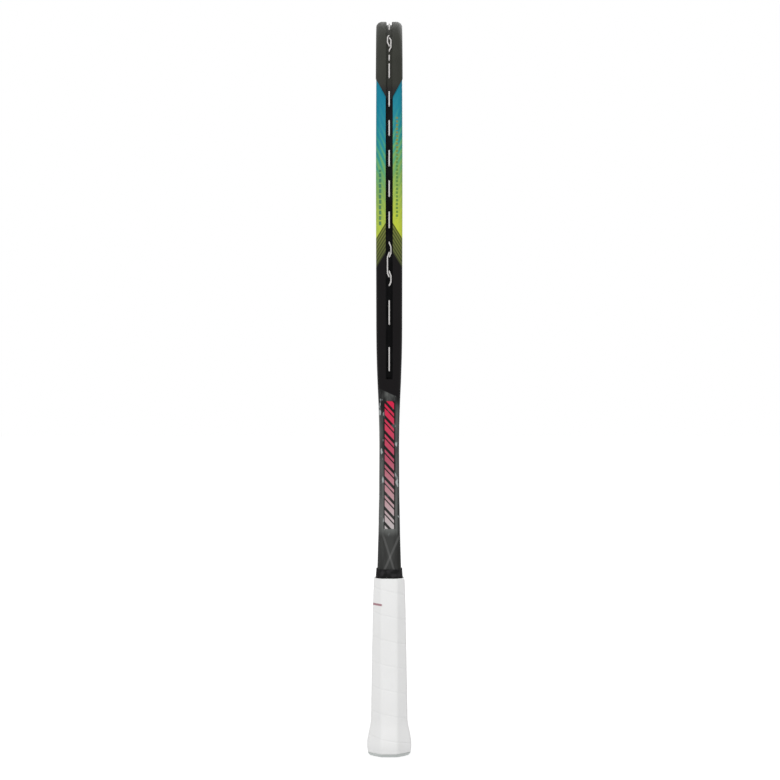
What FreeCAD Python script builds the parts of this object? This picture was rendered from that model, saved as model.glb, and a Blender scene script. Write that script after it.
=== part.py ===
import FreeCAD, Part
import math
import os
import Sketcher

V = FreeCAD.Vector

# A strung squash racket. It stands upright: +Z runs from the butt to the tip of the head, X is
# across the strings and Y is the depth of the frame. The origin is the middle of the butt's
# flat end. Sizes are millimetres, and slopes are degrees.
SIZES = {
    # the whole racket
    "overall_length": 685.0,
    "head_width": 206.0,
    # plan of the hairpin tube, whose radii are those of its centre line
    "tube_width": 10.2,
    "tip_radius": 80.0,
    "tip_half_angle": 48.0,
    "arm_slope": 26.0,
    "arm_foot_radius": 110.0,
    "crotch_radius": 11.0,
    "web_radius": 2.0,
    # depth of the tube, front to back, and the heights where it is measured
    "shaft_end": 12.0,
    "foot_height": 172.0,
    "foot_depth": 22.4,
    "waist_share": 0.654,
    "waist_depth": 18.4,
    "shoulder_rise": 56.0,
    "shoulder_depth": 23.8,
    "tip_depth": 23.1,
    "edge_radius": 4.0,
    "wedge_sunk": 1.0,
    "tube_wall": 1.4,
    # groove round the outside of the head, and the moulded strips that line it
    "groove_width": 6.4,
    "groove_depth": 2.6,
    "groove_run_out": 8.0,
    "strip_wall": 0.7,
    "fit_gap": 0.1,
    "barrel_size": 3.4,
    "barrel_bore": 1.8,
    "barrel_proud": 0.8,
    "liner_size": 3.0,
    # bumper over the tip of the head
    "bumper_thick": 1.2,
    "bumper_lip": 3.0,
    "bumper_skin": 0.55,
    "bumper_round": 5.5,
    "bumper_slot_round": 1.2,
    "bumper_edge_drop": 67.0,
    "bumper_groove_drop": 83.0,
    # strings
    "string_size": 1.25,
    "string_gap": 0.2,
    "string_bend": 1.2,
    "string_lane": 1.6,
    "groove_float": 0.3,
    "lip_gap": 0.8,
    "main_edge_gap": 25.9,
    "hole_spacing": 3.6,
    "top_cross_drop": 32.0,
    "low_cross_rise": 98.1,
    "weave_bend": 4.0,
    "knot_size": 3.6,
    # handle: how much the finished grip's octagon is deeper than the shaft at each station
    "grip_top_height": 166.0,
    "grip_top_over": 6.8,
    "neck_height": 140.0,
    "neck_over": 8.4,
    "heel_height": 30.0,
    "heel_over": 12.3,
    "flare_height": 20.0,
    "flare_over": 16.8,
    "rim_height": 9.0,
    "rim_over": 20.5,
    "foot_edge_height": 3.5,
    "foot_edge_over": 17.6,
    "sole_edge_height": 1.2,
    "sole_edge_over": 13.4,
    "butt_face_over": 3.8,
    "grip_extra_wide": 3.5,
    "side_flat_under": 7.6,
    "face_flat_under": 4.0,
    "grip_wall": 1.9,
    "grip_gap": 0.15,
    "pallet_gap": 0.1,
    "pallet_top": 164.0,
    "cap_wall": 1.6,
    "cap_floor": 2.6,
    "badge_size": 15.0,
    "badge_thick": 1.0,
    "badge_sink": 0.3,
    "badge_gap": 0.1,
    "tack_shank": 1.2,
    "tack_head": 3.0,
    "tack_head_thick": 0.7,
    "tack_seat": 1.2,
    "tack_gap": 0.1,
    "tack_length": 3.4,
    "tack_height": 22.0,
    "plug_length": 12.0,
    "plug_gap": 0.1,
    # tape and rubber collar above the grip
    "tape_thick": 0.3,
    "tape_gap": 0.05,
    "tape_length": 6.6,
    "collar_length": 8.0,
    "collar_gap": 0.3,
    "collar_foot_wall": 0.8,
    "collar_top_wall": 0.3,
}
MAIN_COUNT = 14
CROSS_COUNT = 18

doc = FreeCAD.newDocument("SquashRacket")
sheet = doc.addObject("Spreadsheet::Sheet", "Sizes")
for row, (name, value) in enumerate(SIZES.items(), start=1):
    sheet.set(f"A{row}", name)
    sheet.set(f"B{row}", str(value))
    sheet.setAlias(f"B{row}", name)
doc.recompute()


def size(name):
    """The value that the spreadsheet holds under a name."""
    return float(sheet.get(name))


# ---------------------------------------------------------------- plan of the hairpin tube


class Hairpin:
    """Centre line of the frame's tube on the +X side, in the plane of the strings.

    The run is measured along it from the tip: tip arc, side arc, straight arm, foot arc that
    bends the other way, and the straight shaft. A place is a run and an offset from the centre
    line, outwards positive.
    """

    def __init__(self):
        self.half_tube = size("tube_width") / 2
        self.tip_angle = math.radians(size("tip_half_angle"))
        self.slope = math.radians(size("arm_slope"))
        self.tip_radius = size("tip_radius")
        self.foot_radius = size("arm_foot_radius")
        half_width = size("head_width") / 2 - self.half_tube
        tip_sine = math.sin(self.tip_angle)
        self.side_radius = (half_width - self.tip_radius * tip_sine) / (1 - tip_sine)
        top = size("overall_length") - size("bumper_thick") - self.half_tube
        self.tip_centre = V(0, 0, top - self.tip_radius)
        shift = self.tip_radius - self.side_radius
        side_shift = V(shift * tip_sine, 0, shift * math.cos(self.tip_angle))
        self.side_centre = self.tip_centre + side_shift
        self.side_end_angle = math.pi / 2 + self.slope
        self.arm_way = V(-math.sin(self.slope), 0, -math.cos(self.slope))
        self.arm_out = V(math.cos(self.slope), 0, -math.sin(self.slope))
        self.arm_start = self.side_centre + self.arm_out * self.side_radius
        foot_reach = self.foot_radius * (1 - math.cos(self.slope))
        arm_end_x = self.half_tube + foot_reach
        arm_length = (self.arm_start.x - arm_end_x) / math.sin(self.slope)
        arm_end = self.arm_start + self.arm_way * arm_length
        self.foot_centre = arm_end + self.arm_out * self.foot_radius
        lengths = [
            self.tip_radius * self.tip_angle,
            self.side_radius * (self.side_end_angle - self.tip_angle),
            arm_length,
            self.foot_radius * self.slope,
            self.foot_centre.z - size("shaft_end"),
        ]
        self.joins = [sum(lengths[:n]) for n in range(len(lengths) + 1)]
        self.widest = self.joins[1] + self.side_radius * (math.pi / 2 - self.tip_angle)

    def out(self, run):
        """Outward direction of the tube at a run."""
        if run <= self.joins[1]:
            angle = run / self.tip_radius
            return V(math.sin(angle), 0, math.cos(angle))
        if run <= self.joins[2]:
            angle = self.tip_angle + (run - self.joins[1]) / self.side_radius
            return V(math.sin(angle), 0, math.cos(angle))
        if run <= self.joins[3]:
            return V(self.arm_out)
        if run <= self.joins[4]:
            angle = self.slope - (run - self.joins[3]) / self.foot_radius
            return V(math.cos(angle), 0, -math.sin(angle))
        return V(1, 0, 0)

    def way(self, run):
        """Direction along the tube at a run, away from the tip."""
        out = self.out(run)
        return V(out.z, 0, -out.x)

    def place(self, run, offset=0.0):
        """Point at a run and an offset from the centre line."""
        out = self.out(run)
        if run <= self.joins[1]:
            return self.tip_centre + out * (self.tip_radius + offset)
        if run <= self.joins[2]:
            return self.side_centre + out * (self.side_radius + offset)
        if run <= self.joins[3]:
            along = self.arm_start + self.arm_way * (run - self.joins[2])
            return along + out * offset
        if run <= self.joins[4]:
            return self.foot_centre - out * (self.foot_radius - offset)
        return V(self.half_tube + offset, 0, self.foot_centre.z - (run - self.joins[4]))

    def course(self, start, end, offset):
        """Edges along the tube from one run to another at one offset."""
        stops = [start] + [join for join in self.joins if start < join < end] + [end]
        edges = []
        for a, b in zip(stops, stops[1:]):
            first = self.place(a + 1e-9, offset)
            middle = self.place((a + b) / 2, offset)
            last = self.place(b, offset)
            chord = (first + last) / 2
            if (middle - chord).Length < 1e-6:
                edges.append(Part.makeLine(first, last))
            else:
                edges.append(Part.Arc(first, middle, last).toShape())
        return edges

    def run_where(self, test, low, high):
        """The run between low and high where a test that starts true turns false."""
        for _ in range(50):
            middle = (low + high) / 2
            if test(middle):
                low = middle
            else:
                high = middle
        return low

    def run_at_height(self, height, offset):
        """The run whose point at an offset lies at a height."""
        return self.run_where(
            lambda run: self.place(run, offset).z > height, 0.0, self.joins[5]
        )

    def run_above(self, across, offset):
        """The run in the upper half of the head whose point lies this far across."""
        return self.run_where(
            lambda run: self.place(run, offset).x < across, 0.0, self.widest
        )

    def run_below(self, across, offset):
        """The run below the widest place whose point lies this far across."""
        return self.run_where(
            lambda run: self.place(run, offset).x > across, self.widest, self.joins[4]
        )


hoop = Hairpin()
HALF_TUBE = hoop.half_tube
SHAFT_RUN = hoop.joins[5]


def crotch_centre(radius):
    """Centre height of a round that fits between the arms where they part."""
    inner_radius = hoop.foot_radius + HALF_TUBE
    rise = math.sqrt((inner_radius + radius) ** 2 - hoop.foot_centre.x**2)
    return hoop.foot_centre.z + rise


def crotch_run(radius):
    """Run where that round touches the inner side of the arm."""
    inner_radius = hoop.foot_radius + HALF_TUBE
    rise = crotch_centre(radius) - hoop.foot_centre.z
    angle = math.asin(rise / (inner_radius + radius))
    return hoop.joins[3] + (hoop.slope - angle) * hoop.foot_radius


CROTCH = crotch_centre(size("crotch_radius")) - size("crotch_radius")
WAIST = size("foot_height") + size("waist_share") * (CROTCH - size("foot_height"))
SHOULDER = CROTCH + size("shoulder_rise")
SKY = size("overall_length") + 20


def line_up(edges):
    """One face inside a closed run of edges."""
    return Part.Face(Part.Wire(Part.__sortEdges__(edges)))


def both_ways(face, reach):
    """A flat face thickened by a reach to the front and to the back."""
    solid = face.extrude(V(0, 2 * reach, 0))
    solid.translate(V(0, -reach, 0))
    return solid


def both_sides(solid):
    """A solid of the +X side joined to its mirror image."""
    return solid.fuse(mirrored(solid)).removeSplitter()


def mirrored(solid):
    """The -X side's copy of a solid."""
    return solid.mirror(V(0, 0, 0), V(1, 0, 0))


def band(inner, outer, start=0.0, end=None):
    """Plan of the strip of tube between two offsets and two runs."""
    end = SHAFT_RUN if end is None else end
    inside = hoop.course(start, end, inner)
    outside = hoop.course(start, end, outer)
    caps = [
        Part.makeLine(hoop.place(start + 1e-9, inner), hoop.place(start + 1e-9, outer)),
        Part.makeLine(hoop.place(end, inner), hoop.place(end, outer)),
    ]
    return line_up(inside + outside + caps)


def outer_plan(offset):
    """Everything inside an offset from the tube's centre line, for the +X half."""
    edges = hoop.course(0.0, SHAFT_RUN, offset)
    top = hoop.place(0.0, offset)
    corner = hoop.place(SHAFT_RUN, offset)
    foot = V(0, 0, corner.z)
    return line_up(edges + [Part.makeLine(corner, foot), Part.makeLine(foot, top)])


def window_plan(radius, gap=0.0):
    """The opening between the arms and inside the head, with a round foot, +X half.

    A gap makes it that much smaller along the arms.
    """
    end = crotch_run(radius)
    centre = V(0, 0, crotch_centre(radius))
    touch = hoop.place(end, -HALF_TUBE - gap)
    foot = centre - V(0, 0, radius - gap)
    between = (touch - centre) + (foot - centre)
    middle = centre + between.normalize() * (radius - gap)
    top = hoop.place(0.0, -HALF_TUBE - gap)
    edges = hoop.course(0.0, end, -HALF_TUBE - gap)
    edges.append(Part.Arc(touch, middle, foot).toShape())
    edges.append(Part.makeLine(foot, top))
    return line_up(edges)


# ---------------------------------------------------------------- depth of the tube


def half_depth(height):
    """Half of the tube's depth at a height: two arcs at the waist and shoulder, then a taper."""
    waist = size("waist_depth") / 2
    foot = size("foot_depth") / 2
    shoulder = size("shoulder_depth") / 2
    foot_height = size("foot_height")
    if height <= foot_height:
        return foot
    if height <= WAIST:
        return waist + (foot - waist) * ((WAIST - height) / (WAIST - foot_height)) ** 2
    rise = (height - WAIST) / (SHOULDER - WAIST)
    if rise <= 0.5:
        return waist + (shoulder - waist) * 2 * rise**2
    if rise <= 1:
        return shoulder - (shoulder - waist) * 2 * (1 - rise) ** 2
    share = (height - SHOULDER) / (size("overall_length") - SHOULDER)
    return shoulder + (size("tip_depth") / 2 - shoulder) * share


def envelope(grow):
    """Solid between the tube's front and back, made deeper by grow on each side."""

    def side(height):
        return V(0, half_depth(height) + grow, height)

    bends = [size("foot_height"), WAIST, (WAIST + SHOULDER) / 2, SHOULDER]
    edges = [Part.makeLine(V(0, 0, -1), V(0, side(0).y, -1))]
    edges.append(Part.makeLine(V(0, side(0).y, -1), side(bends[0])))
    for low, high in zip(bends, bends[1:]):
        arc = Part.Arc(side(low), side((low + high) / 2), side(high))
        edges.append(arc.toShape())
    edges.append(Part.makeLine(side(SHOULDER), side(SKY)))
    edges.append(Part.makeLine(side(SKY), V(0, 0, SKY)))
    edges.append(Part.makeLine(V(0, 0, SKY), V(0, 0, -1)))
    reach = size("head_width")
    front = line_up(edges).extrude(V(2 * reach, 0, 0))
    front.translate(V(-reach, 0, 0))
    back = front.mirror(V(0, 0, 0), V(0, 1, 0))
    return front.fuse(back).removeSplitter()


def faces_front_or_back(face):
    """Whether a face is one of the tube's front or back faces."""
    low_u, high_u, low_v, high_v = face.ParameterRange
    normal = face.normalAt((low_u + high_u) / 2, (low_v + high_v) / 2)
    return abs(normal.y) > math.sin(math.pi / 4)


def soften(solid, radius, keep=None):
    """Rounds the long edges between the plan's walls and the front and back faces."""
    edges = []
    for edge in solid.Edges:
        pair = solid.ancestorsOfType(edge, Part.Face)
        if len(pair) != 2:
            continue
        if faces_front_or_back(pair[0]) == faces_front_or_back(pair[1]):
            continue
        if keep is None or keep(edge):
            edges.append(edge)
    return solid.makeFillet(radius, edges)


def off_the_end(edge):
    """Whether an edge is away from the sawn end of the shaft."""
    return edge.BoundBox.ZMax > size("shaft_end") + 0.5


# ---------------------------------------------------------------- holes for the strings


class Hole:
    """A string hole square to the tube: where the string turns in, and its side (+1 or -1)."""

    def __init__(self, run, side):
        self.run = run
        self.side = side
        out = hoop.out(run)
        turn = hoop.place(run, -HALF_TUBE - TURN_BACK)
        self.out = V(side * out.x, 0, out.z)
        self.turn = V(side * turn.x, 0, turn.z)
        self.seat = self.turn + self.out * (TURN_BACK + HALF_TUBE + SEAT_OFFSET)

    def rod(self, diameter, start, end):
        """A round rod along the hole between two offsets from the tube's centre line."""
        base = self.turn + self.out * (TURN_BACK + HALF_TUBE + start)
        return Part.makeCylinder(diameter / 2, end - start, base, self.out)


STRIP_SUNK = 0.1
BUMPER_BITE = 0.4
TURN_BACK = size("barrel_proud") + size("lip_gap")
STRING = size("string_size")
INNER_HALF = size("head_width") / 2 - size("tube_width")
MAIN_PITCH = (INNER_HALF - size("main_edge_gap")) / ((MAIN_COUNT - 1) / 2)
TOP_CROSS = size("overall_length") - size("top_cross_drop")
LOW_CROSS = CROTCH + size("low_cross_rise")
CROSS_PITCH = (TOP_CROSS - LOW_CROSS) / (CROSS_COUNT - 1)
mains = [(n + 0.5) * MAIN_PITCH for n in range(MAIN_COUNT // 2)]

turn_offset = -HALF_TUBE - TURN_BACK


def clear_of(taken, run):
    """A hole's run, moved along the hoop if a hole that is already there is too near."""
    nearest = min(taken, key=lambda other: abs(other - run))
    if abs(run - nearest) >= size("hole_spacing"):
        return run
    return nearest + math.copysign(size("hole_spacing"), run - nearest)


top_runs = [hoop.run_above(across, turn_offset) for across in mains]
low_runs = [hoop.run_below(across, turn_offset) for across in mains[1:]]
cross_runs = []
for row in range(CROSS_COUNT):
    even_run = hoop.run_at_height(TOP_CROSS - row * CROSS_PITCH, turn_offset)
    cross_runs.append(clear_of(top_runs + low_runs, even_run))
crosses = [hoop.place(run, turn_offset).z for run in cross_runs]
main_tie_run = (top_runs[-1] + cross_runs[1]) / 2
top_tie_run = (top_runs[3] + top_runs[4]) / 2
low_tie_run = (low_runs[2] + low_runs[3]) / 2


def side_runs(side):
    """Runs of all the string holes on one side of the racket."""
    runs = top_runs + low_runs + cross_runs + [main_tie_run]
    if side < 0:
        runs = runs + [top_tie_run, low_tie_run]
    return sorted(runs)


def between_holes(run):
    """The middle of the space between two holes, nearest to a run."""
    runs = side_runs(-1)
    middles = [(a + b) / 2 for a, b in zip(runs, runs[1:])]
    return min(middles, key=lambda middle: abs(middle - run))


GROOVE_END = max(low_runs) + size("groove_run_out")
BUMPER_LOW = size("overall_length") - size("bumper_groove_drop")
BUMPER_HIGH = size("overall_length") - size("bumper_edge_drop")
BUMPER_RUN = between_holes(hoop.run_at_height(BUMPER_LOW, HALF_TUBE))
SIDE_END = between_holes(hoop.joins[2])


# ---------------------------------------------------------------- making sub-parts

nodes = []


def add_shape(name, shape):
    """A sub-part whose shape is worked out from the sheet's values."""
    part = doc.addObject("Part::Feature", name)
    part.Label = name
    part.Shape = shape
    part.Placement = FreeCAD.Placement()
    nodes.append(part)
    return part


def groove_block(width, inner, outer, start=0.0, end=None):
    """A block in the groove of the +X side, between two offsets and two runs."""
    return both_ways(band(inner, outer, start, end), width / 2)


def build_skin(plan, grow):
    """A plan crossed with the tube's depth, grown alike on every side, with round edges."""
    solid = both_sides(both_ways(plan, size("head_width") / 2)).common(envelope(grow))
    return soften(solid, size("edge_radius") + grow, off_the_end)


def build_frame():
    """Hollow hairpin tube: outer skin, less the bore, the groove and the string holes."""
    plan = outer_plan(HALF_TUBE).cut(window_plan(size("web_radius")))
    solid = build_skin(plan, 0.0)
    wall = size("tube_wall")
    bore = build_skin(band(wall - HALF_TUBE, HALF_TUBE - wall), -wall)
    floor = HALF_TUBE - size("groove_depth")
    guard_width = size("groove_width") + 2 * wall
    guard = groove_block(guard_width, floor - wall, HALF_TUBE + 1, 0.0, GROOVE_END + wall)
    bore = bore.cut(both_sides(guard))
    groove = groove_block(size("groove_width"), floor, HALF_TUBE + 1, 0.0, GROOVE_END)
    hole_size = size("barrel_size") + 2 * size("fit_gap")
    past = size("tube_wall")
    rods = [
        Hole(run, side).rod(hole_size, -HALF_TUBE - past, floor + past)
        for side in (1, -1)
        for run in side_runs(side)
    ]
    return solid.cut(bore).cut(both_sides(groove)).cut(Part.makeCompound(rods))


def loop_bore(diameter):
    """The U in the throat that carries the two middle strings into one another."""
    across = mains[0]
    centre = V(0, 0, CROTCH - STRING)
    tube = Part.makeTorus(across, diameter / 2, centre, V(0, 1, 0))
    room = 4 * across
    below = Part.makeBox(2 * room, 2 * room, room, V(-room, -room, centre.z - room))
    tube = tube.common(below)
    for side in (1, -1):
        foot = V(side * across, 0, centre.z)
        leg = Part.makeCylinder(diameter / 2, room, foot, V(0, 0, 1))
        tube = tube.fuse(leg)
    return tube


def throat_room():
    """The space in the fork between its web and the round crotch, less the fit's gap."""
    wide = window_plan(size("web_radius"), size("fit_gap"))
    wide = wide.cut(window_plan(size("crotch_radius")))
    return both_sides(both_ways(wide, size("head_width") / 2))


def build_wedge():
    """Moulded wedge in the fork, a little shallower than the arms beside it."""
    solid = throat_room().common(envelope(-size("wedge_sunk")))
    return solid.cut(loop_bore(size("liner_size") + 2 * size("fit_gap")))


def build_liner():
    """Tube in the wedge that keeps the string off it, flush with the crotch."""
    liner = loop_bore(size("liner_size")).common(throat_room())
    return liner.cut(loop_bore(size("barrel_bore")))


def strip(side, start, end, top=HALF_TUBE - STRIP_SUNK):
    """Moulded channel in the groove with a barrel through the tube for each string."""
    gap = size("fit_gap")
    floor = HALF_TUBE - size("groove_depth") + gap
    wall = size("strip_wall")
    width = size("groove_width") - 2 * gap
    block = groove_block(width, floor, top, start, end)
    channel = groove_block(width - 2 * wall, floor + wall, HALF_TUBE + 1, start, end)
    solid = block.cut(channel)
    if side < 0:
        solid = mirrored(solid)
    holes = [Hole(run, side) for run in side_runs(side) if start < run < end]
    barrel_end = -HALF_TUBE - size("barrel_proud")
    barrels = [hole.rod(size("barrel_size"), barrel_end, floor + wall / 2) for hole in holes]
    bores = [hole.rod(size("barrel_bore"), barrel_end - 1, HALF_TUBE) for hole in holes]
    return solid.fuse(barrels).cut(Part.makeCompound(bores))


def on_outer_rim(edge, offset):
    """Whether an edge runs along the tube at an offset."""
    point = edge.valueAt((edge.FirstParameter + edge.LastParameter) / 2)
    run = hoop.run_at_height(point.z, offset)
    return abs(abs(point.x) - hoop.place(run, offset).x) < 0.01


def on_slot_rim(edge, offset, aside):
    """Whether an edge is the rim of the bumper's slot, this far aside at an offset."""
    point = edge.valueAt((edge.FirstParameter + edge.LastParameter) / 2)
    along = abs(edge.tangentAt(edge.FirstParameter).y) < 0.5
    return along and abs(abs(point.y) - aside) < 0.01 and on_outer_rim(edge, offset)


def build_bumper():
    """Guard over the tip: a skin wrapped over the tube's edges, with its own channel."""
    reach = size("head_width") / 2
    outer = HALF_TUBE + size("bumper_thick")
    lip = HALF_TUBE - size("bumper_lip")
    inner = lip - size("edge_radius")
    plan = band(inner, outer, 0.0, BUMPER_RUN)
    solid = both_sides(both_ways(plan, reach)).common(envelope(size("bumper_skin")))
    solid = soften(solid, size("bumper_round"), lambda edge: on_outer_rim(edge, outer))
    past = BUMPER_RUN + HALF_TUBE
    hollow = size("groove_width") - 2 * size("strip_wall") - 2 * size("fit_gap")
    slot = groove_block(hollow, -HALF_TUBE, outer + 1, 0.0, past)
    solid = solid.cut(both_sides(slot))
    rims = [edge for edge in solid.Edges if on_slot_rim(edge, outer, hollow / 2)]
    solid = solid.makeFillet(size("bumper_slot_round"), rims)
    inside = groove_block(4 * reach, inner - 1, lip, 0.0, past)
    frame_room = build_skin(outer_plan(HALF_TUBE + size("fit_gap")), size("fit_gap"))
    solid = solid.cut(both_sides(inside)).cut(frame_room)
    solid = solid.cut(v_ends())
    channels = [strip(side, 0.0, BUMPER_RUN, HALF_TUBE + BUMPER_BITE) for side in (1, -1)]
    return solid.fuse(channels).removeSplitter()


def v_ends():
    """Two blocks that trim the bumper's ends to a V that points down along the groove."""
    near = size("groove_width") / 2
    far = size("shoulder_depth")
    reach = size("head_width")
    slant = (BUMPER_HIGH - BUMPER_LOW) / (size("tip_depth") / 2 - near)
    below = BUMPER_LOW - reach
    blocks = []
    for side in (1, -1):
        corners = [
            V(-reach, side * near, BUMPER_LOW),
            V(-reach, side * far, BUMPER_LOW + slant * (far - near)),
            V(-reach, side * far, below),
            V(-reach, side * near, below),
        ]
        face = Part.Face(Part.makePolygon(corners + corners[:1]))
        blocks.append(face.extrude(V(2 * reach, 0, 0)))
    return Part.makeCompound(blocks)


# ---------------------------------------------------------------- strings

STRAIGHT = 1e-4
BEND_SHARE = 0.98


def fitted_setbacks(points, radii):
    """How far each bend reaches from its corner, less where two bends share a short run."""
    wanted = [0.0]
    for before, corner, after, radius in zip(points, points[1:], points[2:], radii):
        turn = (corner - before).getAngle(after - corner)
        wanted.append(radius * math.tan(turn / 2))
    wanted.append(0.0)
    fitted = list(wanted)
    for n in range(len(points) - 1):
        room = BEND_SHARE * (points[n + 1] - points[n]).Length
        together = wanted[n] + wanted[n + 1]
        if together > room:
            fitted[n] = min(fitted[n], wanted[n] * room / together)
            fitted[n + 1] = min(fitted[n + 1], wanted[n + 1] * room / together)
    return fitted[1:-1]


def rounded_path(points, radii):
    """Wire of straight runs joined by tangent arcs; radii has a value for each inner point."""
    edges = []
    here = points[0]
    setbacks = fitted_setbacks(points, radii)
    for before, corner, after, setback in zip(points, points[1:], points[2:], setbacks):
        arrive = (corner - before).normalize()
        leave = (after - corner).normalize()
        turn = arrive.getAngle(leave)
        if turn < STRAIGHT:
            continue
        radius = setback / math.tan(turn / 2)
        start = corner - arrive * setback
        end = corner + leave * setback
        inward = (leave - arrive).normalize()
        middle = corner + inward * (radius / math.cos(turn / 2) - radius)
        edges.append(Part.makeLine(here, start))
        edges.append(Part.Arc(start, middle, end).toShape())
        here = end
    edges.append(Part.makeLine(here, points[-1]))
    return Part.Wire(edges)


def sweep(path):
    """A string of round section along a path, with its volume compared with its length."""
    start = path.Edges[0]
    at_start = start.FirstParameter
    ring = Part.makeCircle(STRING / 2, start.valueAt(at_start), start.tangentAt(at_start))
    tube = path.makePipeShell([Part.Wire(ring)], True, False)
    expected = math.pi * (STRING / 2) ** 2 * path.Length
    if abs(tube.Volume - expected) > 0.01 * expected:
        raise ValueError(f"a string's volume is {tube.Volume:.1f}, not {expected:.1f}")
    return tube


SEAT_OFFSET = HALF_TUBE - size("groove_depth") + size("fit_gap") + size("strip_wall")
SEAT_OFFSET += size("groove_float") + STRING / 2
GROOVE_STEP = 9.0
KNOT_REACH = 2.6
KNOT_GAP = 0.1


class Route:
    """The points of a string, gathered one after another, with a bend radius at each."""

    def __init__(self):
        self.points = []
        self.radii = []

    def add(self, point, radius):
        self.points.append(point)
        self.radii.append(radius)

    def cross_groove(self, first, second, aside):
        """Out of one hole, along the groove and into another, aside of any hole between."""
        bend = size("string_bend")
        low, high = sorted((first.run, second.run))
        passed = [run for run in side_runs(first.side) if low < run < high]
        lane = aside if passed else 0.0
        ease = abs(lane) + 2 * bend
        gap = abs(second.run - first.run) - 2 * ease
        ahead = 1 if second.run > first.run else -1
        self.add(first.seat, bend)
        if gap > bend:
            steps = math.ceil(gap / GROOVE_STEP)
            for n in range(steps + 1):
                run = first.run + ahead * (ease + gap * n / steps)
                spot = hoop.place(run, SEAT_OFFSET)
                self.add(V(first.side * spot.x, lane, spot.z), bend)
        self.add(second.seat, bend)

    def wire(self):
        return rounded_path(self.points, self.radii[1:-1])


def knot_start(hole):
    """The end of a string that has come in through a tie-off hole, inside its knot."""
    return hole.turn - hole.out * KNOT_REACH


def main_route():
    """One string: tie-off, seven mains, round the throat, seven mains, tie-off."""
    route = Route()
    bend = size("string_bend")
    aside = -size("string_lane")
    count = len(mains)
    half = []
    for side in (1, -1):
        tops = [Hole(run, side) for run in top_runs]
        lows = [None] + [Hole(run, side) for run in low_runs]
        tie = Hole(main_tie_run, side)
        part = Route()
        part.add(knot_start(tie), bend)
        part.cross_groove(tie, tops[-1], aside)
        for n in range(count - 1, -1, -1):
            down = (count - 1 - n) % 2 == 0
            enter, leave = (tops[n], lows[n]) if down else (lows[n], tops[n])
            part.add(enter.turn, bend)
            if n == 0:
                break
            part.add(leave.turn, bend)
            part.cross_groove(leave, (lows if down else tops)[n - 1], aside)
        half.append(part)
    for point, radius in zip(half[0].points, half[0].radii):
        route.add(point, radius)
    across = mains[0]
    depth = CROTCH - STRING - across
    route.add(V(across, 0, depth), across * 0.98)
    route.add(V(-across, 0, depth), across * 0.98)
    for point, radius in zip(reversed(half[1].points), reversed(half[1].radii)):
        route.add(point, radius)
    return route


def weave_depth(swing, reach):
    """How far out a crossing's corner lies, so that its round bend still clears the main.

    The string falls back to the middle over a reach on one side, and over half of the mains'
    pitch on the other.
    """
    steep = math.atan(swing / reach)
    gentle = math.atan(2 * swing / MAIN_PITCH)
    half_turn = (steep + gentle) / 2
    lean = (steep - gentle) / 2
    return swing + size("weave_bend") * (1 / math.cos(half_turn) - 1) / math.cos(lean)


def cross_route():
    """One string: tie-off, the crosses from the top down, woven over and under, tie-off."""
    route = Route()
    bend = size("string_bend")
    aside = size("string_lane")
    columns = sorted([-across for across in mains] + mains)
    swing = STRING + size("string_gap")
    top_tie = Hole(top_tie_run, -1)
    low_tie = Hole(low_tie_run, -1)
    route.add(knot_start(top_tie), bend)
    leave = top_tie
    for row, height in enumerate(crosses):
        going = -1 if row % 2 == 0 else 1
        start = Hole(cross_runs[row], going)
        end = Hole(cross_runs[row], -going)
        route.cross_groove(leave, start, aside)
        route.add(start.turn, bend)
        ordered = columns if going < 0 else columns[::-1]
        for across in ordered:
            if abs(across) > abs(start.turn.x):
                continue
            column = columns.index(across)
            over = 1 if (row + column) % 2 == 0 else -1
            to_hole = abs(start.turn.x) - abs(across)
            depth = weave_depth(swing, min(to_hole, MAIN_PITCH / 2))
            route.add(V(across, over * depth, height), size("weave_bend"))
        route.add(end.turn, bend)
        leave = end
    route.cross_groove(leave, low_tie, aside)
    route.add(knot_start(low_tie), bend)
    return route


def build_knots():
    """A knot on each string end: a fat turn of string with a smaller turn behind it."""
    ties = [Hole(main_tie_run, 1), Hole(main_tie_run, -1), Hole(top_tie_run, -1)]
    ties.append(Hole(low_tie_run, -1))
    knots = []
    for tie in ties:
        end = knot_start(tie)
        middle = end + tie.out * (KNOT_REACH / 3)
        ball = Part.makeSphere(size("knot_size") / 2, middle)
        turn = Part.makeTorus(size("knot_size") / 2, STRING / 2, middle, tie.out)
        length = 4 * size("knot_size")
        rod = Part.makeCylinder(STRING / 2 + KNOT_GAP, length, end - tie.out * KNOT_GAP, tie.out)
        knots.append(ball.fuse(turn).cut(rod))
    return Part.makeCompound(knots)


# ---------------------------------------------------------------- handle


def plane_of(body, role):
    """One of a body's own origin planes."""
    return next(item for item in body.Origin.OriginFeatures if item.Role == role)


def new_body(name):
    """An empty body that becomes the sub-part of that name."""
    body = doc.addObject("PartDesign::Body", name)
    body.Label = name
    nodes.append(body)
    return body


def new_sketch(body, name, height):
    """A sketch on the body's XY plane, lifted to a height given as an expression."""
    sketch = body.newObject("Sketcher::SketchObject", name)
    sketch.AttachmentSupport = [(plane_of(body, "XY_Plane"), "")]
    sketch.MapMode = "FlatFace"
    sketch.setExpression("AttachmentOffset.Base.z", height)
    return sketch


def bind(sketch, kind, *rest, name, value, drawn):
    """A dimension drawn at one length and bound to an expression of the sheet's values."""
    index = sketch.addConstraint(Sketcher.Constraint(kind, *rest, drawn))
    sketch.renameConstraint(index, name)
    sketch.setExpression(f"Constraints.{name}", value)


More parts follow.
